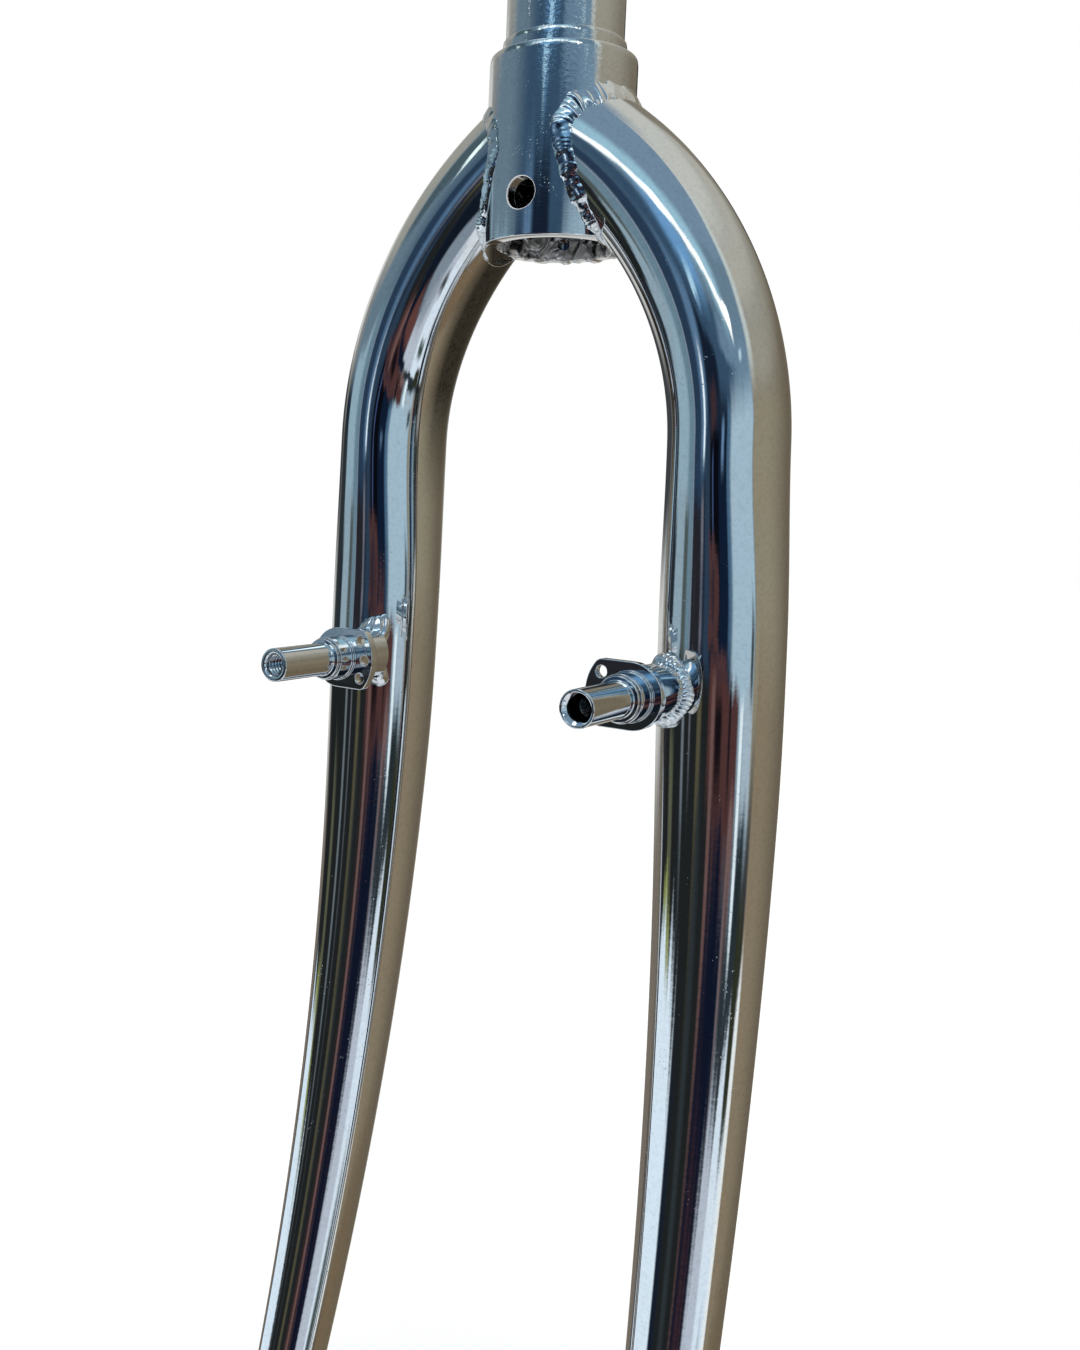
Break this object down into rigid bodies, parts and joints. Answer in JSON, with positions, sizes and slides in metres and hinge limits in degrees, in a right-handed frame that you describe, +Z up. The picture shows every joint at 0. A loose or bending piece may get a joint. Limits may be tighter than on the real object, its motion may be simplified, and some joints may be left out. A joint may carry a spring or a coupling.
{
  "type": "rigid bicycle fork",
  "caption": "Chrome-plated steel bicycle fork: a straight steerer, bent and tapered blades welded to its collar, posts for rim brakes and slotted fork ends.",
  "frame": {"origin": "on the steerer's axis, at the shoulder that the crown race sits on", "axes": "+Z up the steerer, -Y forward, +X to the rider's left"},
  "size_m": [0.125, 0.0776, 0.629],
  "materials": {
    "steerer_chrome": "polished chrome plating over fine turning lines",
    "blade_chrome": "mirror chrome plating on drawn tube",
    "weld_chrome": "chrome plating over rippled weld bead",
    "boss_chrome": "chrome plating on turned and stamped steel",
    "stud_chrome": "bright chrome plating on turned steel",
    "dropout_chrome": "chrome plating on stamped plate"
  },
  "bodies": {
    "root": {"steerer_tube": "steerer_chrome", "left_blade": "blade_chrome", "right_blade": "blade_chrome", "left_crown_weld": "weld_chrome", "right_crown_weld": "weld_chrome", "left_boss_barrel": "boss_chrome", "right_boss_barrel": "boss_chrome", "left_boss_weld": "weld_chrome", "right_boss_weld": "weld_chrome", "left_spring_plate": "boss_chrome", "right_spring_plate": "boss_chrome", "left_pivot_stud": "stud_chrome", "right_pivot_stud": "stud_chrome", "left_dropout": "dropout_chrome", "right_dropout": "dropout_chrome", "left_tip_weld": "weld_chrome", "right_tip_weld": "weld_chrome"}
  },
  "joints": []
}
